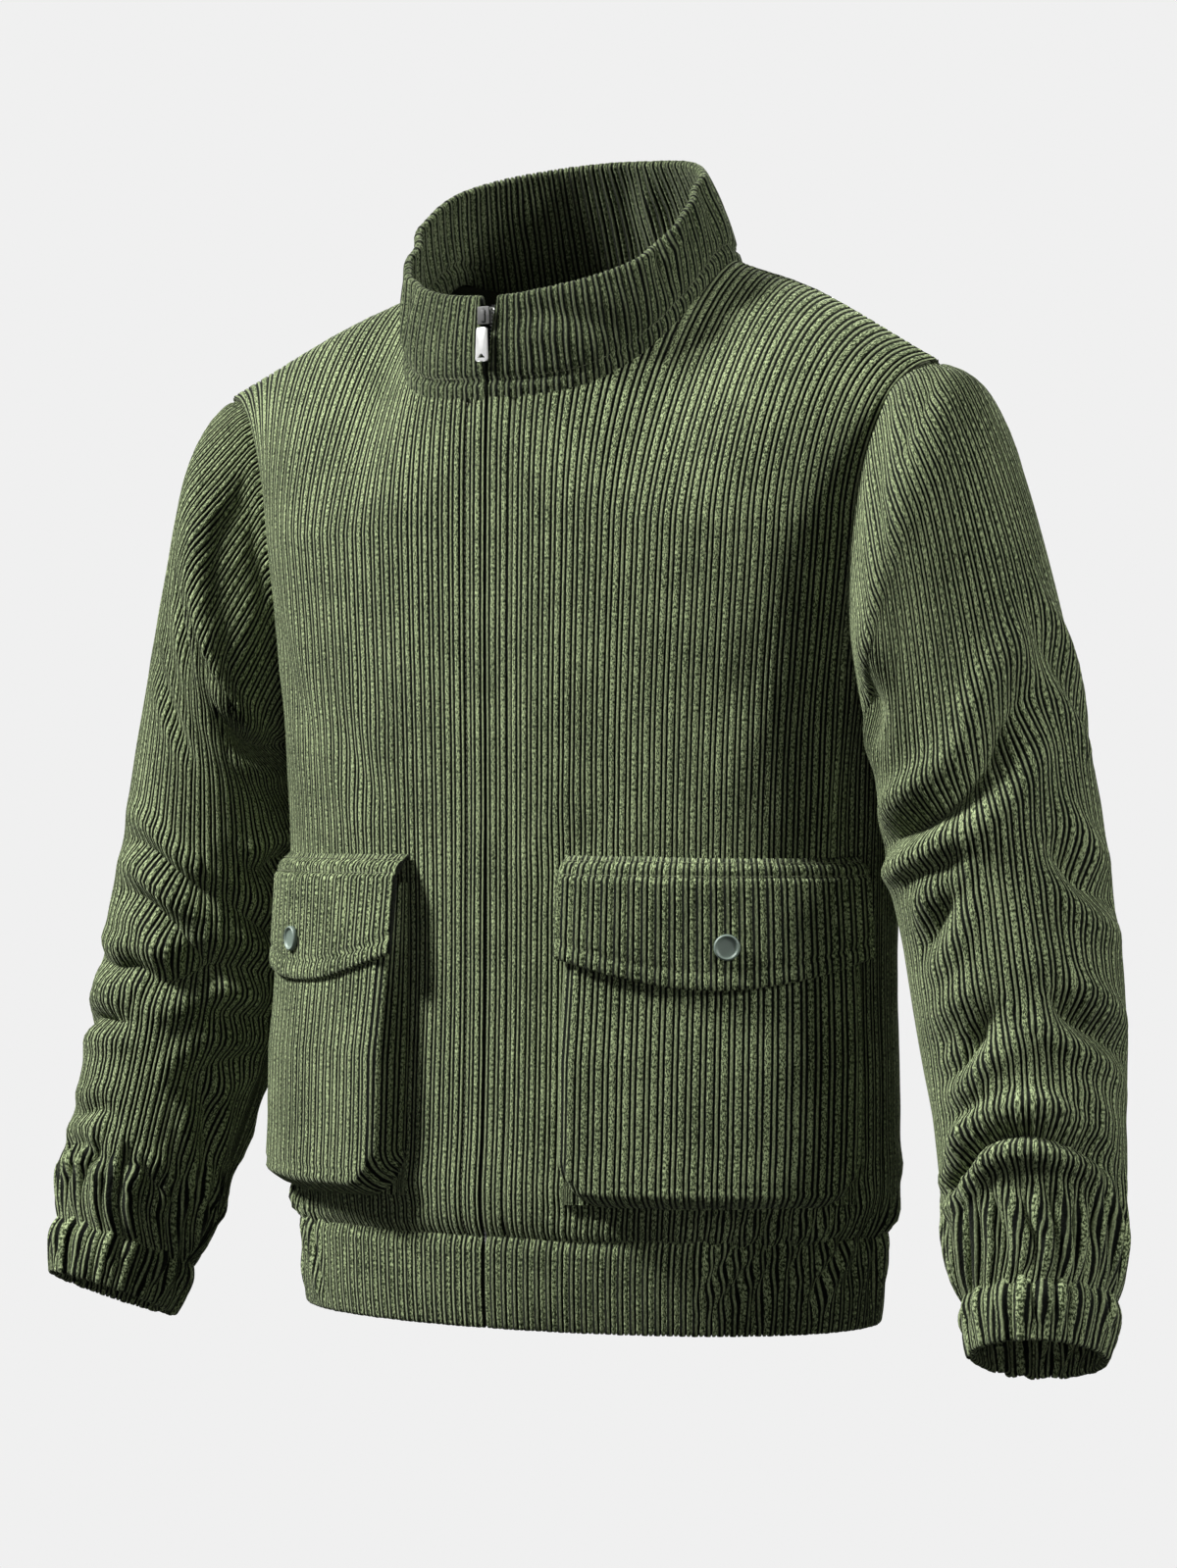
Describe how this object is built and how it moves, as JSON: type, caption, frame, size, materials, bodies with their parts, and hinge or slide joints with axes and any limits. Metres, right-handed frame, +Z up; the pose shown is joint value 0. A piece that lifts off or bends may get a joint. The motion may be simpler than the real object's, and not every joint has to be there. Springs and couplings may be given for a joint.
{
  "type": "corduroy jacket",
  "caption": "Hollow worn corduroy blouson with stand collar, concealed front zip, bellows flap pockets, gathered cuffs and hem.",
  "frame": {"origin": "midway between the two neck points, where the wearer's shoulders carry the jacket", "axes": "+Z up, -Y out of the front, +X towards the wearer's left arm"},
  "size_m": [0.7698, 0.2475, 0.7502],
  "materials": {
    "corduroy": "thick-and-thin corduroy pile, matt with a soft nap",
    "zip_tape": "black woven zip tape",
    "snap_cap": "matt grey-green lacquered snap cap",
    "silver_metal": "bright silver plating"
  },
  "bodies": {
    "jacket": {"front_left": "corduroy", "front_right": "corduroy", "back": "corduroy", "sleeve_left": "corduroy", "sleeve_right": "corduroy", "cuff_left": "corduroy", "cuff_right": "corduroy", "collar": "corduroy", "hem_front_left": "corduroy", "hem_front_right": "corduroy", "hem_back": "corduroy", "pocket_left": "corduroy", "pocket_right": "corduroy", "flap_left": "corduroy", "flap_right": "corduroy", "zip_tape_left": "zip_tape", "zip_tape_right": "zip_tape", "snap_left": "snap_cap", "snap_right": "snap_cap", "zip_slider": "silver_metal"},
    "pull_tab": {"pull_tab": "silver_metal"}
  },
  "joints": [
    {"name": "pull_tab_swing", "type": "hinge", "parent": "jacket", "child": "pull_tab", "pos_m": [0, -0.1348, -0.048], "axis": [-1, 0, 0], "range_deg": [0, 150]}
  ]
}
